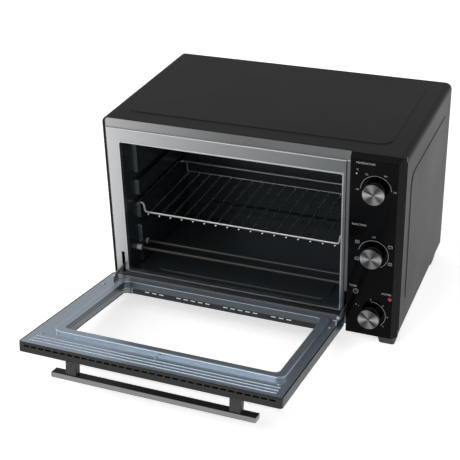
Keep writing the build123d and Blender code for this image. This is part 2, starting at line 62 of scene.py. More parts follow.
# %% [markdown]
# Makers measure an oven from its casing, so places below are given in millimetres from the casing's
# lower front left corner: x to the right, y to the back, z up. The pressed side panels stand a little
# proud of the casing, which is why the corner lies inside the casing's box.

# %% Millimetres from the casing's corner
MM = 0.001
pressed_height = 1.2
casing_low, casing_high = (Vector(end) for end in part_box("outer_casing"))
corner = casing_low + Vector((pressed_height * MM, 0, 0))


def at(x, y, z):
    """A place in metres, from millimetres measured from the casing's corner."""
    return corner + Vector((x, y, z)) * MM


print("casing corner", [round(value, 4) for value in corner])

# %% [markdown]
# Door pieces are easier to think of with the door shut, where they are square to the axes. The swing
# from shut to open comes from the frame's own hinge, so it can't disagree with the metalwork.

# %% The door's swing
hinge = next(joint for joint in frame["joints"] if joint["name"] == "door_hinge")
hinge_place = Vector(hinge["pos_m"])
open_angle = -radians(hinge["range_deg"][0])
turn_open = Matrix.Rotation(open_angle, 4, "X")
swing = Matrix.Translation(hinge_place) @ turn_open @ Matrix.Translation(-hinge_place)
door_gap, door_low = 2.5, -2


def shut(x, up, out):
    """A place on the shut door: across it, up from its lower edge, out from its inner face."""
    return at(x, -door_gap - out, door_low + up)


print("open by", round(hinge["range_deg"][0], 2), "degrees")

# %% [markdown]
# The camera is made first, because everything else is judged through it. It is a long lens, set to the
# right and above, which keeps the oven's lines nearly parallel. Yaw turns the camera about the upright,
# pitch tips it down and roll is the last small twist about its own line of sight.

# %% The camera
yaw, pitch, roll = radians(22.47), radians(28.71), radians(-1.68)
bpy.ops.object.select_all(action="DESELECT")
bpy.ops.object.camera_add()
camera = bpy.context.object
camera.name = "camera"
camera.data.lens = 86
camera.data.sensor_width = 36
aim = Matrix.Rotation(yaw, 4, "Z") @ Matrix.Rotation(pi / 2 - pitch, 4, "X") @ Matrix.Rotation(roll, 4, "Z")
camera.matrix_world = Matrix.Translation(at(875, -1550, 1064)) @ aim
bpy.context.scene.camera = camera
print("camera at", [round(value, 3) for value in camera.location])

# %% [markdown]
# A plain white floor runs far past the oven, and wide soft lamps stand round it: a strong one over the
# front, a faint one on the right for the sheen down the casing's side, and one on the left. The
# surroundings are a pale grey, which glossy black plastic needs to look black and not empty.

# %% Floor, surroundings and lamps
floor_size = 60
bpy.ops.mesh.primitive_plane_add(size=floor_size, location=(0, 0, 0))
floor = bpy.context.object
floor.name = "floor"
bpy.context.scene.view_settings.view_transform = "Standard"
surroundings = bpy.data.worlds.new("surroundings")
surroundings.use_nodes = True
background = surroundings.node_tree.nodes["Background"]
background.inputs["Color"].default_value = (1, 1, 1, 1)
background.inputs["Strength"].default_value = 0.5
bpy.context.scene.world = surroundings


def soft_lamp(name, place, target, size, power):
    bpy.ops.object.light_add(type="AREA", location=place)
    lamp = bpy.context.object
    lamp.name = name
    lamp.data.shape = "RECTANGLE"
    lamp.data.size, lamp.data.size_y = size
    lamp.data.energy = power
    lamp.rotation_euler = (Vector(target) - Vector(place)).to_track_quat("-Z", "Y").to_euler()


soft_lamp("front_lamp", (-0.7, -1.9, 2.0), (0, -0.1, 0.1), (1.8, 1.2), 26)
soft_lamp("right_lamp", (2.2, 0.6, 1.0), (0.2, 0.1, 0.2), (1.4, 1.2), 3)
soft_lamp("left_lamp", (-2.2, -0.4, 1.2), (-0.2, 0, 0.1), (1.2, 1.2), 14)

# %% [markdown]
# A finish is a material whose colour, roughness and small relief vary over the surface. The sums that
# make it vary are easier to read as ordinary arithmetic, so this small class wraps one socket of a
# node and turns each plus, minus, times or comparison into a Math node.

# %% Arithmetic on sockets
class Signal:
    """A value that varies over a surface."""

    def __init__(self, finish, socket):
        self.finish, self.socket = finish, socket

    def sum(self, operation, first, second=0.0):
        return self.finish.node("ShaderNodeMath", {"operation": operation}, {0: first, 1: second})

    def __add__(self, other):
        return self.sum("ADD", self, other)

    def __sub__(self, other):
        return self.sum("SUBTRACT", self, other)

    def __rsub__(self, other):
        return self.sum("SUBTRACT", other, self)

    def __mul__(self, other):
        return self.sum("MULTIPLY", self, other)

    def __gt__(self, other):
        return self.sum("GREATER_THAN", self, other)

    def __lt__(self, other):
        return self.sum("LESS_THAN", self, other)

    __radd__, __rmul__ = __add__, __mul__


print("arithmetic ready")

# %% [markdown]
# Every finish starts from the Principled shader. What is the same all over is set on its sockets;
# what varies is a link. One method makes any node: its kind, its settings, then its inputs.

# %% A finish and its nodes
class Finish:
    """A material, with one method for nodes and a few for what finishes are made of."""

    def __init__(self, name, colour, **plain):
        self.material = bpy.data.materials.new(name)
        self.material.use_nodes = True
        self.tree = self.material.node_tree
        self.shader = self.tree.nodes["Principled BSDF"]
        self.set(Base_Color=(*colour, 1), **plain)
        self.colour = colour

    def set(self, **inputs):
        for name, value in inputs.items():
            self.plug(self.shader.inputs[name.replace("_", " ")], value)
        return self

    def plug(self, socket, value):
        if isinstance(value, Signal):
            self.tree.links.new(value.socket, socket)
        else:
            socket.default_value = value

    def node(self, kind, settings, inputs, output=0):
        made = self.tree.nodes.new(kind)
        for name, value in settings.items():
            setattr(made, name, value)
        for key, value in inputs.items():
            self.plug(made.inputs[key], value)
        return Signal(self, made.outputs[output])

    def place(self, stretch=(1, 1, 1)):
        """Object coordinates, stretched along the axes."""
        spot = self.node("ShaderNodeTexCoord", {}, {}, "Object")
        return self.node("ShaderNodeMapping", {}, {"Vector": spot, "Scale": stretch})

    def shut_place(self):
        """Object coordinates turned back to where they are with the door shut."""
        back = swing.inverted()
        spot = self.node("ShaderNodeTexCoord", {}, {}, "Object")
        turned = {"Vector": spot, "Location": tuple(back.translation), "Rotation": tuple(back.to_euler())}
        return self.node("ShaderNodeMapping", {}, turned)

    def axis(self, spot, name):
        return self.node("ShaderNodeSeparateXYZ", {}, {0: spot}, name)

    def noise(self, scale, detail=2.0, stretch=(1, 1, 1)):
        """A cloudy value from 0 to 1. The scale is in bumps to the metre, stretched along the axes."""
        inputs = {"Vector": self.place(stretch), "Scale": scale, "Detail": detail}
        return self.node("ShaderNodeTexNoise", {}, inputs)

    def tint(self, factor, other):
        """The finish's colour where factor is 0 and the other colour where it is 1."""
        inputs = {0: factor, 6: (*self.colour, 1), 7: (*other, 1)}
        return self.node("ShaderNodeMix", {"data_type": "RGBA"}, inputs, 2)

    def relief(self, height, depth):
        """Turns a height into a bump that is depth metres deep."""
        inputs = {"Strength": 1.0, "Distance": depth, "Height": height}
        return self.set(Normal=self.node("ShaderNodeBump", {}, inputs))


def dress(finish, *names):
    """Gives CAD nodes a finish."""
    for name in names:
        nodes[name].data.materials.clear()
        nodes[name].data.materials.append(finish.material)
    print(finish.material.name, "on", ", ".join(names))


# %% [markdown]
# The floor is matt white with the faintest mottle, so the oven's soft shadow has something to lie on.

# %% Floor finish
floor_white = Finish("floor_white", (0.93, 0.93, 0.93), Roughness=0.9, Specular_IOR_Level=0.1,
                     Emission_Color=(1, 1, 1, 1), Emission_Strength=0.62)
floor_white.set(Base_Color=floor_white.tint(floor_white.noise(3.0) * 0.1, (0.9, 0.9, 0.9)))
floor.data.materials.append(floor_white.material)

# %% [markdown]
# The casing is folded sheet steel with a baked paint. Baked paint is never quite flat: it has a fine
# orange peel, a millimetre or two across and a few hundredths deep, and its gloss wanders a little.
# A small noise makes the peel and a large one the wandering gloss.

# %% Casing paint
casing_paint = Finish("casing_paint", (0.0075, 0.0077, 0.0080), Roughness=0.42, Specular_IOR_Level=0.13)
casing_paint.set(Roughness=0.38 + casing_paint.noise(7.0, 3.0) * 0.12)
casing_paint.set(Base_Color=casing_paint.tint(casing_paint.noise(900.0), (0.011, 0.0112, 0.0115)))
casing_paint.relief(casing_paint.noise(600.0, 1.0), 0.00004)
dress(casing_paint, "outer_casing", "back_cover")

# %% [markdown]
# The base pan and inner brackets are zinc-coated sheet. Rolling leaves faint lines along the sheet,
# so the noise is stretched: dense across the rolling direction and long along it.

# %% Rolled steel
frame_steel = Finish("frame_steel", (0.44, 0.455, 0.46), Metallic=1.0, Roughness=0.4)
rolling = frame_steel.noise(40.0, 3.0, (1, 1, 30))
frame_steel.set(Base_Color=frame_steel.tint(rolling, (0.36, 0.375, 0.38)), Roughness=0.34 + rolling * 0.14)
frame_steel.relief(frame_steel.noise(60.0, 2.0, (1, 1, 40)), 0.00001)
dress(frame_steel, "base_pan", "control_bracket", "heat_shield", "spring_anchors", "timer_bell")

# %% [markdown]
# The front frame is the same sheet. Its colour carries painted reflection and painted shade: it is painted
# palest on the left and darker to the right, and the narrow band along its top, set back a step, is
# painted darker still. The folds at the step and round the opening carry a painted highlight.

# %% Front frame
front_steel = Finish("front_steel", (0.42, 0.43, 0.435), Metallic=1.0, Roughness=0.38)
spot = front_steel.place()
x, z = front_steel.axis(spot, "X"), front_steel.axis(spot, "Z")
# Painted shade: the colour darkens from the left edge to the right, standing in for reflection.
painted_shade_rate, step_z = 2.3, at(0, 0, 309.6).z
across = (x - at(4, 0, 0).x) * painted_shade_rate
painted_shade_ramp = across.sum("POWER", across.sum("MAXIMUM", across, 0.001), 0.6)
# Painted shade: the band above the step is painted darker.
band = (z > step_z) * 0.3
low, high = at(27.4, 0, 22.4), at(436.6, 0, 286.6)
# Painted highlight: the rim round the opening and a strip just under the step are painted lighter.
opening_rim_highlight = (x > low.x) * (x < high.x) * (z > low.z) * (z < high.z)
painted_fold_highlight = opening_rim_highlight + (z > step_z - 2 * MM) * (z < step_z)
painted_shade_and_highlight = (painted_shade_ramp + band).sum("MINIMUM", painted_shade_ramp + band, 1.0) - painted_fold_highlight * 0.75
front_steel.set(Base_Color=front_steel.tint(painted_shade_and_highlight.sum("MAXIMUM", painted_shade_and_highlight, 0.0), (0.12, 0.125, 0.127)))
front_steel.set(Roughness=0.3 + front_steel.noise(40.0, 3.0, (1, 1, 30)) * 0.16)
front_steel.relief(front_steel.noise(60.0, 2.0, (1, 1, 40)), 0.00001)
dress(front_steel, "front_frame")

# %% [markdown]
# The cavity is coated in a dark, glossy, slightly blue enamel. It has a soft ripple from the way it
# flows before it is fired, and that ripple is what breaks its reflections up.

# %% Cavity enamel
cavity_enamel = Finish("cavity_enamel", (0.040, 0.050, 0.055), Roughness=0.25, Metallic=0.6)
cavity_enamel.set(Roughness=0.16 + cavity_enamel.noise(25.0, 3.0) * 0.12)
cavity_enamel.set(Base_Color=cavity_enamel.tint(cavity_enamel.noise(300.0), (0.055, 0.068, 0.076)))
cavity_enamel.relief(cavity_enamel.noise(40.0, 2.0), 0.0002)
dress(cavity_enamel, "cavity_left_wall", "cavity_right_wall", "cavity_ceiling", "cavity_floor", "cavity_back")

# %% [markdown]
# The door's inner panel has the same coating in a lighter blue-grey. It looks metallic, because flake
# in the coating glints: a fine noise that only lightens the colour gives that glint without glitter.
# The wall of the window's recess is painted darker, as painted shade in the recess. Comparisons pick it out
# with the door turned shut: two limits across the door, two up it and one for the depth at which the wall
# starts.

# %% Door panel coating
door_coating = Finish("door_coating", (0.38, 0.44, 0.51), Metallic=0.75, Roughness=0.3)
flake = door_coating.noise(1500.0, 1.0)
door_coating.set(Base_Color=door_coating.tint(flake, (0.46, 0.53, 0.60)))
door_coating.set(Roughness=0.24 + door_coating.noise(18.0, 3.0) * 0.14)
door_coating.relief(door_coating.noise(50.0, 2.0), 0.0001)
recess = Finish("recess_coating", door_coating.colour, Metallic=0.75, Roughness=0.32)
spot = recess.shut_place()
x, y, z = recess.axis(spot, "X"), recess.axis(spot, "Y"), recess.axis(spot, "Z")
wall_start = -5.4
low, high = shut(44.5, 42, wall_start), shut(419.5, 269.5, wall_start)
# Painted shade: the recess wall inside these limits is darkened.
inside = (x > low.x) * (x < high.x) * (z > low.z) * (z < high.z) * (y < low.y)
glint = (1 - inside) * recess.noise(1500.0, 1.0) * -0.3
recess.set(Base_Color=recess.tint(inside * 0.86 + glint, (0.030, 0.036, 0.038)))
recess.set(Roughness=0.24 + recess.noise(18.0, 3.0) * 0.14)
recess.relief(recess.noise(50.0, 2.0), 0.0001)
dress(recess, "door_inner_panel")
door_edge = Finish("door_edge", (0.017, 0.0175, 0.0185), Metallic=0.2, Roughness=0.35,
                   Specular_IOR_Level=0.25)
door_edge.set(Roughness=0.3 + door_edge.noise(30.0, 3.0) * 0.15)
door_edge.relief(door_edge.noise(500.0), 0.00003)
dress(door_edge, "door_frame")

# %% [markdown]
# The band between the panel and the outer glass is darkened sheet. Its left side is painted paler, as a
# painted reflection, and its perforation is drawn there. Holes this small are drawn by the colour: sine waves
# along the band and down its depth are compared with a limit and multiplied, which leaves 1 on the metal and
# 0 in the holes.

# %% Perforated band
def perforated(finish):
    """1 on the metal and 0 in the holes of the door's perforated band."""
    spot = finish.shut_place()
    along_band, down_band = 900.0, 1250.0
    x, z = finish.axis(spot, "X") * along_band, finish.axis(spot, "Z") * along_band
    y = finish.axis(spot, "Y") * down_band
    across = (x.sum("SINE", x) + z.sum("SINE", z)) < 0.7
    return across * (y.sum("SINE", y) < 0.4)


bare_sheet = Finish("bare_sheet", (0.020, 0.023, 0.026), Metallic=0.6, Roughness=0.4)
# Painted reflection: the band is painted paler left of this line.
painted_reflection_left = bare_sheet.axis(bare_sheet.place(), "X") < at(60, 0, 0).x
pattern = 0.3 + perforated(bare_sheet) * 0.7
bare_sheet.set(Base_Color=bare_sheet.tint(painted_reflection_left * pattern, (0.24, 0.26, 0.26)))
bare_sheet.set(Roughness=0.3 + bare_sheet.noise(200.0) * 0.2)
dress(bare_sheet, "window_spacer")

# %% [markdown]
# The outer pane is clear. A thin clear pane is drawn best as a mostly see-through sheet with a sharp
# gloss, because light that bends through solid glass would leave the floor behind it too dark. Faint
# smears in the gloss keep it from looking absent.

# %% Clear glass
clear_glass = Finish("clear_glass", (0.03, 0.035, 0.035), Roughness=0.03, Alpha=0.06, IOR=1.5)
clear_glass.set(Roughness=0.02 + clear_glass.noise(12.0, 3.0) * 0.05)
dress(clear_glass, "outer_glass")

# %% [markdown]
# The control fascia is a glossy black moulding, and the printed panel on it is glossier still. Even a
# polished mould leaves long soft waves, which show only where a lamp is mirrored. The grips, the
# handle's core and the switches behind the fascia are a duller black with a fine grain.

# %% Glossy black plastics
fascia_black = Finish("fascia_black", (0.004, 0.004, 0.0043), Roughness=0.22, Specular_IOR_Level=0.1)
fascia_black.set(Roughness=0.2 + fascia_black.noise(30.0, 3.0) * 0.1)
fascia_black.relief(fascia_black.noise(20.0), 0.0001)
dress(fascia_black, "control_fascia")
overlay_black = Finish("overlay_black", (0.001, 0.001, 0.0011), Roughness=0.12, Specular_IOR_Level=0.05)
overlay_black.set(Roughness=0.1 + overlay_black.noise(14.0, 3.0) * 0.08)
dress(overlay_black, "dial_overlay")
matt_black = Finish("matt_black", (0.014, 0.014, 0.0145), Roughness=0.5)
matt_black.set(Roughness=0.42 + matt_black.noise(400.0) * 0.2)
matt_black.relief(matt_black.noise(1100.0), 0.00004)
dials = ("temperature", "function", "timer")
dress(matt_black, "handle_core", "handle_posts", "thermostat", "function_switch", "timer", "cord_gland")

# %% [markdown]
# The handle's skin is stainless steel, brushed along its length. Brushing is a noise that is very long
# one way and very fine the other.

# %% Brushed stainless steel
brushed_steel = Finish("brushed_steel", (0.24, 0.24, 0.245), Metallic=1.0, Roughness=0.3)
brushing = brushed_steel.noise(30.0, 3.0, (1, 60, 60))
brushed_steel.set(Base_Color=brushed_steel.tint(brushing, (0.15, 0.15, 0.153)))
brushed_steel.set(Roughness=0.24 + brushing * 0.2)
brushed_steel.relief(brushing, 0.00002)
dress(brushed_steel, "handle_skin")

# %% [markdown]
# The rack is drawn wire with bright plating. Its thick rim is painted duller and its cross wires painted
# brighter, as painted shade and painted highlight on one plating. The heating rods are steel tubes that heat
# has darkened in slow bands. Insulators are unglazed ceramic, speckled and matt.

# %% Wire, rods and ceramic
# Painted shade: the rim is darker than the cross wires of the same plating.
rim_wire_painted_shade = Finish("rim_wire_painted_shade", (0.40, 0.40, 0.40), Metallic=1.0, Roughness=0.3)
rim_wire_painted_shade.set(Roughness=0.24 + rim_wire_painted_shade.noise(120.0, 3.0) * 0.16)
dress(rim_wire_painted_shade, "rack_rim")
# Painted highlight: the cross wires are brighter than the rim.
cross_wire_painted_highlight = Finish("cross_wire_painted_highlight", (0.85, 0.84, 0.82), Metallic=1.0, Roughness=0.3)
cross_wire_painted_highlight.set(Roughness=0.24 + cross_wire_painted_highlight.noise(120.0, 3.0) * 0.16)
dress(cross_wire_painted_highlight, "rack_wires")
heated_rod = Finish("heated_rod", (0.030, 0.030, 0.030), Metallic=0.6, Roughness=0.35)
heated_rod.set(Base_Color=heated_rod.tint(heated_rod.noise(14.0, 4.0), (0.06, 0.056, 0.052)))
heated_rod.set(Roughness=0.3 + heated_rod.noise(90.0, 3.0) * 0.25)
dress(heated_rod, "lower_heating_rods", "upper_heating_rods")
pale_ceramic = Finish("pale_ceramic", (0.70, 0.68, 0.62), Roughness=0.7)
pale_ceramic.set(Base_Color=pale_ceramic.tint(pale_ceramic.noise(700.0) > 0.6, (0.5, 0.47, 0.42)))
dress(pale_ceramic, "rod_insulators", "pivot_bushes", "terminal_block", "indicator_lamp")

# %% [markdown]
# Hinge parts and screws are zinc plated: a dull, faintly patchy grey. The lens is red plastic over a
# small lamp, and the feet are black rubber with a grain.

# %% Plated steel, lens and rubber
plated_steel = Finish("plated_steel", (0.42, 0.43, 0.44), Metallic=1.0, Roughness=0.4)
plated_steel.set(Base_Color=plated_steel.tint(plated_steel.noise(150.0, 4.0), (0.56, 0.57, 0.58)))
plated_steel.set(Roughness=0.32 + plated_steel.noise(400.0) * 0.2)
dress(plated_steel, "hinge_lugs", "hinge_straps", "strap_brackets", "strap_pins", "pivot_pins",
      *[name + "_shaft" for name in dials], "bracket_screws", "foot_screws", "handle_screws")
lens_red = Finish("lens_red", (0.30, 0.015, 0.015), Roughness=0.2, Emission_Color=(1, 0.05, 0.03, 1),
                  Emission_Strength=0.04)
lens_red.set(Roughness=0.15 + lens_red.noise(500.0) * 0.15)
dress(lens_red, "lamp_lens")
foot_rubber = Finish("foot_rubber", (0.012, 0.012, 0.012), Roughness=0.55)
foot_rubber.relief(foot_rubber.noise(1200.0), 0.00006)
dress(foot_rubber, "feet")

# %% [markdown]
# New pieces are modelled the way one would by hand: add a primitive at its size, work on it in edit
# mode, finish with modifiers. These helpers only deselect, select faces by where they look, and apply
# a piece's place at the end so that its object sits at the origin.

# %% Modelling helpers
def deselect():
    """Leaves edit mode with nothing selected, the frame's nodes included."""
    if bpy.context.mode != "OBJECT":
        bpy.ops.object.mode_set(mode="OBJECT")
    bpy.ops.object.select_all(action="DESELECT")


def take(*things):
    """Selects these objects only. The last one is the active one."""
    deselect()
    for thing in things:
        thing.select_set(True)
    bpy.context.view_layer.objects.active = things[-1]
    return things[-1]


def settle(piece):
    """Puts a piece's place into its mesh."""
    take(piece)
    bpy.ops.object.transform_apply(location=True, rotation=True, scale=True)
    return piece


def edit(piece, test, kind="FACE"):
    """Goes into edit mode and selects the parts that pass a test."""
    take(piece)
    bpy.ops.object.mode_set(mode="EDIT")
    bpy.ops.mesh.select_mode(type=kind)
    bpy.ops.mesh.select_all(action="DESELECT")
    shape = bmesh.from_edit_mesh(piece.data)
    parts = {"FACE": shape.faces, "EDGE": shape.edges, "VERT": shape.verts}[kind]
    for part in parts:
        if test(part):
            part.select_set(True)
    bmesh.update_edit_mesh(piece.data)


def joined(name, pieces):
    """Joins pieces into one object with this name."""
    take(*pieces)
    if len(pieces) > 1:
        bpy.ops.object.join()
    whole = bpy.context.object
    whole.name = whole.data.name = name
    return settle(whole)


def hand_over(piece, body, finish, slot, *replaced):
    """Gives a finished piece its finish and its body, and hides the CAD nodes that it stands for."""
    piece.data.materials.clear()
    piece.data.materials.append(finish.material)
    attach(piece, body)
    if replaced:
        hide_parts(*replaced)
    deselect()
    print(piece.name, "rides on", body, "with", len(piece.data.polygons), "faces")


def copy_to(piece, place):
    """A copy with its own mesh, placed by a matrix."""
    twin = piece.copy()
    twin.data = piece.data.copy()
    bpy.context.collection.objects.link(twin)
    twin.matrix_world = place
    return twin


# %% [markdown]
# The dial caps are spun aluminium. The lathe leaves fine rings round the middle, and rings catch the
# light as bright wedges between dark ones. Rings in the relief do that by themselves close up; from
# afar they are too fine to see, so the colour carries soft wedges of painted highlight and painted shade as
# well.

# %% Spun aluminium
def spun_aluminium(name, middle):
    """Relief rings, and painted highlight and shade in soft sectors round one dial's axis."""
    spun = Finish("spun_" + name, (0.045, 0.045, 0.045), Metallic=1.0, Roughness=0.28)
    spot = spun.node("ShaderNodeTexCoord", {}, {}, "Object")
    spot = spun.node("ShaderNodeMapping", {}, {"Vector": spot, "Location": tuple(-middle)})
    across, up = spun.axis(spot, "X"), spun.axis(spot, "Z")
    reach = (across * across + up * up).sum("POWER", across * across + up * up, 0.5)
    angle = spun.node("ShaderNodeMath", {"operation": "ARCTAN2"}, {0: up, 1: across})
    # Painted highlight and painted shade: bright and dark sectors in the colour round the dial's axis.
    painted_highlight_wedges = (angle * 4.0 + 0.9).sum("SINE", angle * 4.0 + 0.9) * 0.5 + 0.5
    painted_highlight_wedges = painted_highlight_wedges * ((angle * 2.0 + 2.2).sum("SINE", angle * 2.0 + 2.2) * 0.35 + 0.65)
    rings = (reach * 9000.0).sum("SINE", reach * 9000.0)
    spun.set(Base_Color=spun.tint(painted_highlight_wedges, (0.34, 0.34, 0.335)), Roughness=0.25 + rings * 0.05)
    return spun.relief(rings, 0.00002)


# %% [markdown]
# A cap is a thin dished disc with a rounded rim and a raised rib that serves as the pointer. A
# cylinder is added facing the front; its front face is inset and pushed in a little for the dish, its
# rim is bevelled, and its back face is inset and pushed in where the grip plugs into it.

# %% Dial caps
dial_x = 493.5
dial_heights = {"temperature": 270, "function": 152.5, "timer": 35}
pointers = {"temperature": 160, "function": 80, "timer": 137}
cap_radius, cap_front, cap_depth = 18.3, -32, 7
rim_round, dish_depth, socket_depth = 1.3, 0.25, 4.2
rib_proud, rib_short, rib_width, rib_round = 1.0, 4.2, 1.9, 0.45
smooth_under = radians(35)


def cap_disc(z):
    middle = at(dial_x, cap_front + cap_depth / 2, z)
    bpy.ops.mesh.primitive_cylinder_add(vertices=96, radius=cap_radius * MM, depth=cap_depth * MM,
                                        location=middle, rotation=(pi / 2, 0, 0))
    disc = settle(bpy.context.object)
    edit(disc, lambda face: face.normal.y < -0.9)
    bpy.ops.mesh.bevel(offset=rim_round * MM, segments=5)
    edit(disc, lambda face: face.normal.y < -0.99 and len(face.verts) > 9)
    bpy.ops.mesh.inset(thickness=0.8 * MM)
    bpy.ops.transform.translate(value=(0, dish_depth * MM, 0))
    bpy.ops.mesh.inset(thickness=0.5 * MM)
    edit(disc, lambda face: face.normal.y > 0.99)
    bpy.ops.mesh.inset(thickness=2.8 * MM)
    bpy.ops.mesh.extrude_region_move(TRANSFORM_OT_translate={"value": (0, -socket_depth * MM, 0)})
    deselect()
    return disc


def cap_rib(z, pointer):
    bpy.ops.mesh.primitive_cube_add(size=1, location=at(dial_x, cap_front, z),
                                    rotation=(0, -radians(pointer), 0))
    rib = bpy.context.object
    rib.scale = ((2 * cap_radius - rib_short) * MM, 2 * rib_proud * MM, rib_width * MM)
    settle(rib)
    edit(rib, lambda edge: True, "EDGE")
    bpy.ops.mesh.bevel(offset=rib_round * MM, segments=2)
    deselect()
    return rib


for name, z in dial_heights.items():
    cap = joined(name + "_spun_cap", [cap_rib(z, pointers[name]), cap_disc(z)])
    bpy.ops.object.shade_smooth_by_angle(angle=smooth_under)
    hand_over(cap, name + "_dial", spun_aluminium(name, at(dial_x, 0, z)), "cap_metal", name + "_cap")

# %% [markdown]
# Behind each cap is the grip, black plastic with shallow flutes for the fingers. A cylinder with many
# sides has one side in every three pushed towards its axis.

# %% Fluted grips
grip_radius, grip_front, grip_back = 15.4, -29, -14.6
flute_count, flute_pinch, hollow_depth = 40, 0.955, 1.2


def fluted_grip(z):
    middle = at(dial_x, (grip_front + grip_back) / 2, z)
    bpy.ops.mesh.primitive_cylinder_add(vertices=flute_count * 3, radius=grip_radius * MM,
                                        depth=(grip_back - grip_front) * MM, location=middle,
                                        rotation=(pi / 2, 0, 0))
    grip = settle(bpy.context.object)
    sides = [face for face in grip.data.polygons if abs(face.normal.y) < 0.5]
    pushed = {face.index for place, face in enumerate(sides) if place % 3 == 0}
    edit(grip, lambda face: face.index in pushed)
    bpy.ops.transform.resize(value=(flute_pinch, 1, flute_pinch), center_override=middle)
    edit(grip, lambda face: face.normal.y > 0.99)
    bpy.ops.mesh.inset(thickness=1.2 * MM)
    bpy.ops.mesh.extrude_region_move(TRANSFORM_OT_translate={"value": (0, -hollow_depth * MM, 0)})
    deselect()
    return grip


for name, z in dial_heights.items():
    grip = joined(name + "_fluted_grip", [fluted_grip(z)])
    hand_over(grip, name + "_dial", matt_black, "knob_plastic", name + "_knob")

# %% [markdown]
# The scales are screen printed: a layer of pale ink a few hundredths of a millimetre thick. Each arc
# is a circle with the unwanted part deleted, extruded inwards to its line width and given thickness.
# Angles are read as on a clock face turned to geometry: 0 is right, 90 is up.

# %% Printed ink
print_ink = Finish("print_ink", (0.27, 0.28, 0.29), Roughness=0.6)
print_ink.set(Base_Color=print_ink.tint(print_ink.noise(1500.0), (0.36, 0.37, 0.38)))
print_face = -13.42
ink_thickness = 0.05
line_width = 0.55
size_for_capitals = 1.35


def ink(piece):
    """Gives a flat print its thickness, towards the fascia."""
    take(piece)
    thick = piece.modifiers.new("thickness", "SOLIDIFY")
    thick.thickness = ink_thickness * MM
    thick.offset = 0
    bpy.ops.object.modifier_apply(modifier=thick.name)
    return piece


def ink_arc(z, radius, low, high, x=dial_x, width=line_width):
    middle = at(x, print_face, z)
    bpy.ops.mesh.primitive_circle_add(vertices=120, radius=(radius + width / 2) * MM, location=middle,
                                      rotation=(pi / 2, 0, 0))
    arc = settle(bpy.context.object)

    def outside(vertex):
        arm = Vector((vertex.co.x - middle.x, middle.z - vertex.co.z))
        angle = Vector((1, 0)).angle_signed(arm, 0) / pi * 180
        return not any(low - 0.01 <= angle + full <= high + 0.01 for full in (-360, 0, 360))

    edit(arc, outside, "VERT")
    bpy.ops.mesh.delete(type="VERT")
    bpy.ops.mesh.select_all(action="SELECT")
    bpy.ops.mesh.extrude_edges_move()
    shrink = (radius - width / 2) / (radius + width / 2)
    bpy.ops.transform.resize(value=(shrink, 1, shrink), center_override=middle)
    deselect()
    return ink(arc)


def ink_bar(x, z, length, width, angle=0):
    """A short straight line, along the angle."""
    bpy.ops.mesh.primitive_plane_add(size=1, location=at(x, print_face, z),
                                     rotation=(pi / 2, -radians(angle), 0))
    bar = bpy.context.object
    bar.scale = (length * MM, width * MM, 1)
    return ink(settle(bar))


def ink_words(words, x, z, height):
    """Plain lettering, centred on its place."""
    bpy.ops.object.text_add(location=at(x, print_face, z), rotation=(pi / 2, 0, 0))
    text = bpy.context.object
    text.data.body = words
    text.data.size = height * MM * size_for_capitals
    text.data.align_x, text.data.align_y = "CENTER", "CENTER"
    take(text)
    bpy.ops.object.convert(target="MESH")
    return ink(settle(bpy.context.object))


def around(z, radius, angle):
    return dial_x + radius * cos(radians(angle)), z + radius * sin(radians(angle))


# %% [markdown]
# The temperature scale runs over the top of its dial with a number at each mark. The function scale
# has a small outline of an oven at each stop, with a line where its rods glow. The timer's scale runs
# clockwise from the top, with a dot at each mark.

# %% Temperature scale
scale_radius = 25.5
temperature_z = dial_heights["temperature"]
marks = {184: "100", 122: "150", 62: "200", 2: "250"}
temperature_print = [ink_arc(temperature_z, scale_radius, 2, 180), ink_words("TEMPERATURE", 475, 315, 3.6)]
for angle, number in marks.items():
    x, z = around(temperature_z, scale_radius + 5.6, angle)
    temperature_print.append(ink_words(number, x, z, 2.8))
temperature_print += [ink_words("°C", 462, 303, 3.0), ink_arc(296, 0.75, -180, 180, 461, 1.4)]
hand_over(joined("temperature_scale", temperature_print), "oven", print_ink, "overlay_film")

# %% Function scale
function_z = dial_heights["function"]
function_print = [ink_arc(function_z, scale_radius, -62, 168), ink_words("FUNCTION", 468, 204, 3.5)]


def oven_icon(x, z, rod_above, rod_below):
    width, height = 6.4, 4.8
    sides = [ink_bar(x, z + side * height / 2, width, 0.5) for side in (-1, 1)]
    sides += [ink_bar(x + side * width / 2, z, height, 0.5, 90) for side in (-1, 1)]
    rods = [(rod_above, 1.1), (rod_below, -1.1)]
    return sides + [ink_bar(x, z + offset, 3.8, 0.5) for wanted, offset in rods if wanted]


for x, z, rod_above, rod_below in ((466, 172, 1, 1), (466, 140, 0, 1), (521.5, 171, 1, 0), (522, 139, 1, 1)):
    function_print += oven_icon(x, z, rod_above, rod_below)
function_print.append(ink_words("OFF", dial_x, 184.5, 2.8))
hand_over(joined("function_scale", function_print), "oven", print_ink, "overlay_film")

# %% Timer scale
timer_z = dial_heights["timer"]
timer_print = [ink_arc(timer_z, scale_radius, -45, 92), ink_arc(timer_z, scale_radius, 145, 152, width=1.2)]
timer_print += [ink_words("TIMER", 461, 86, 3.6), ink_arc(76.5, 4.2, -180, 180, 466, 0.6)]
timer_print += [ink_bar(466, 78.2, 3.2, 0.6, 90), ink_bar(467.2, 76.6, 2.6, 0.6, 0)]
timer_print.append(ink_words("POWER", 519, 79.5, 3.6))
for angle in (92, 46, 0, -42):
    x, z = around(timer_z, scale_radius + 3.6, angle)
    timer_print.append(ink_bar(x, z, 2.2, 1.1, angle))
x, z = around(timer_z, scale_radius + 5, 150)
timer_print.append(ink_words("0", x, z, 3.2))
hand_over(joined("timer_scale", timer_print), "oven", print_ink, "overlay_film")

# %% [markdown]
# Pieces for the door are modelled shut and then swung open with it.

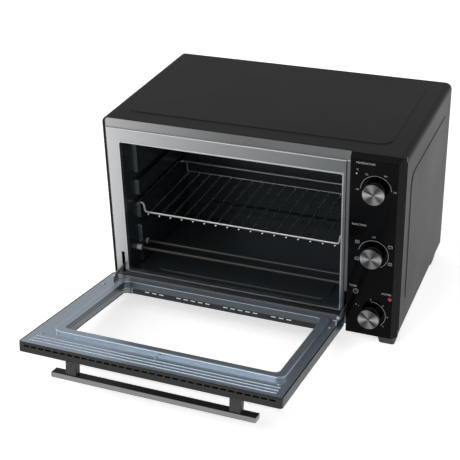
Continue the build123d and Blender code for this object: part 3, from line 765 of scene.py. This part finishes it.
# %% Swinging a piece open
def swung(piece):
    """Takes a piece modelled on the shut door to where it is with the door open."""
    settle(piece)
    piece.matrix_world = swing @ piece.matrix_world
    return settle(piece)


print("door pieces are swung by", [round(value, 3) for value in swing.to_euler()])

# %% [markdown]
# The outer glass is printed black on its inner side, with a clear window left in the middle. The
# print is one flat ring: a plane the size of the window with its corners rounded, its face deleted
# and its outline extruded out to the glass's edge.

# %% Black print on the glass
window_left, window_right, window_low, window_high = 45, 418, 24, 272
glass_width, glass_length, print_out = 445, 330, 16.95
window_round = 18


def glass_border():
    middle = shut((window_left + window_right) / 2, (window_low + window_high) / 2, print_out)
    bpy.ops.mesh.primitive_plane_add(size=1, location=middle, rotation=(pi / 2, 0, 0))
    border = bpy.context.object
    border.scale = ((window_right - window_left) * MM, (window_high - window_low) * MM, 1)
    settle(border)
    edit(border, lambda vertex: True, "VERT")
    bpy.ops.mesh.bevel(offset=window_round * MM, segments=8, affect="VERTICES")
    bpy.ops.mesh.select_all(action="SELECT")
    bpy.ops.mesh.delete(type="ONLY_FACE")
    bpy.ops.mesh.select_all(action="SELECT")
    bpy.ops.mesh.extrude_edges_move()
    grow_x = glass_width / (window_right - window_left)
    grow_z = glass_length / (window_high - window_low)
    bpy.ops.transform.resize(value=(grow_x, 1, grow_z), center_override=middle)
    bpy.ops.transform.translate(value=shut(223.5, 166, print_out) - middle)
    deselect()
    return ink(border)


ink_black = Finish("ink_black", (0.006, 0.006, 0.0065), Roughness=0.35)
ink_black.set(Roughness=0.3 + ink_black.noise(60.0) * 0.1)
hand_over(swung(joined("glass_border", [glass_border()])), "door", ink_black, "bordered_glass")

# %% [markdown]
# A pan-head screw is a short cylinder whose upper edge is rounded over, with a cross cut into it. The
# cross is two thin bars taken away with a Boolean modifier. One screw is modelled and copied.

# %% A pan-head screw
head_radius, head_height, head_round = 3.2, 1.4, 0.8
cross_length, cross_depth, cross_width = 3.4, 1.4, 0.8
cross_turn, turn_between = 0.4, 0.7


def pan_head():
    """A screw head at the origin that looks along -Y, with a stub of its shank behind."""
    bpy.ops.mesh.primitive_cylinder_add(vertices=32, radius=head_radius * MM, depth=head_height * MM,
                                        location=(0, -head_height / 2 * MM, 0), rotation=(pi / 2, 0, 0))
    head = settle(bpy.context.object)
    edit(head, lambda face: face.normal.y < -0.9)
    bpy.ops.mesh.bevel(offset=head_round * MM, segments=4)
    for angle in (0, pi / 2):
        deselect()
        bpy.ops.mesh.primitive_cube_add(size=1, location=(0, -head_height * MM, 0),
                                        rotation=(0, angle + cross_turn, 0))
        cutter = bpy.context.object
        cutter.scale = (cross_length * MM, cross_depth * MM, cross_width * MM)
        settle(cutter)
        take(head)
        cut = head.modifiers.new("cross", "BOOLEAN")
        cut.operation, cut.object = "DIFFERENCE", cutter
        bpy.ops.object.modifier_apply(modifier=cut.name)
        bpy.data.objects.remove(cutter)
    return head


def screw_set(name, places, turned):
    """Copies of the pan head at these places, each turned a little differently."""
    pattern = pan_head()
    heads = []
    for number, place in enumerate(places):
        twist = Matrix.Rotation(number * turn_between, 4, "Y")
        heads.append(copy_to(pattern, Matrix.Translation(place) @ turned @ twist))
    bpy.data.objects.remove(pattern)
    whole = joined(name, heads)
    take(whole)
    bpy.ops.object.shade_smooth_by_angle(angle=smooth_under)
    return whole


panel_places = [shut(x, up, 0) for x, up in ((20, 290), (223.5, 290), (427, 290), (10.5, 60), (436.5, 60))]
half_turn = Matrix.Rotation(pi, 4, "Z")
panel_heads = swung(screw_set("panel_screw_heads", panel_places, half_turn))
hand_over(panel_heads, "door", door_coating, "screw_steel", "panel_screws")
cover_places = [at(x, 335.4, z) for x in (8, 180, 360, 532) for z in (8, 322)]
cover_heads = screw_set("cover_screw_heads", cover_places, half_turn)
hand_over(cover_heads, "oven", plated_steel, "screw_steel", "back_screws")

# %% [markdown]
# The hinge springs pull on the straps behind the front frame. A small circle of wire is swept round
# and along the spring's axis by the Screw modifier, and its two open ends are filled. A straight hook
# leaves each end. On the real oven the straps slide back as the door shuts and the springs shorten by that
# travel; these coils are one rigid piece on the oven's body.

# %% Coiled hinge springs
spring_low, spring_high = (Vector(end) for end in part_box("hinge_springs"))
coil_radius, wire_radius, coil_turns, coil_steps = 2.7, 0.8, 44, 14
coil_inset = 3 * MM


def coil(x, z):
    bpy.ops.mesh.primitive_circle_add(vertices=8, radius=wire_radius * MM,
                                      location=(x, spring_low.y + coil_inset, z))
    wire = bpy.context.object
    edit(wire, lambda vertex: True, "VERT")
    bpy.ops.transform.translate(value=(coil_radius * MM, 0, 0))
    deselect()
    take(wire)
    turns = wire.modifiers.new("turns", "SCREW")
    turns.axis, turns.steps, turns.render_steps = "Y", coil_steps, coil_steps
    turns.iterations = coil_turns
    turns.screw_offset = (spring_high.y - spring_low.y - 2 * coil_inset) / coil_turns
    bpy.ops.object.modifier_apply(modifier=turns.name)
    edit(wire, lambda edge: edge.is_boundary, "EDGE")
    bpy.ops.mesh.fill_holes(sides=0)
    bpy.ops.mesh.select_all(action="SELECT")
    bpy.ops.mesh.normals_make_consistent(inside=False)
    deselect()
    return wire


def hook(x, y, z):
    bpy.ops.mesh.primitive_cylinder_add(vertices=12, radius=wire_radius * MM, depth=hook_length * MM,
                                        location=(x, y, z + coil_radius * MM), rotation=(pi / 2, 0, 0))
    return settle(bpy.context.object)


coil_x, hook_length = 3.6 * MM, 7
spring_z = (spring_low.z + spring_high.z) / 2
hook_ends = (spring_low.y + hook_length / 2 * MM, spring_high.y - hook_length / 2 * MM)
springs = []
for x in (spring_low.x + coil_x, spring_high.x - coil_x):
    springs += [hook(x, y, spring_z) for y in hook_ends] + [coil(x, spring_z)]
coils = joined("coiled_springs", springs)
bpy.ops.object.shade_smooth()
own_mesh(coils)
hand_over(coils, "oven", plated_steel, "hinge_steel", "hinge_springs")
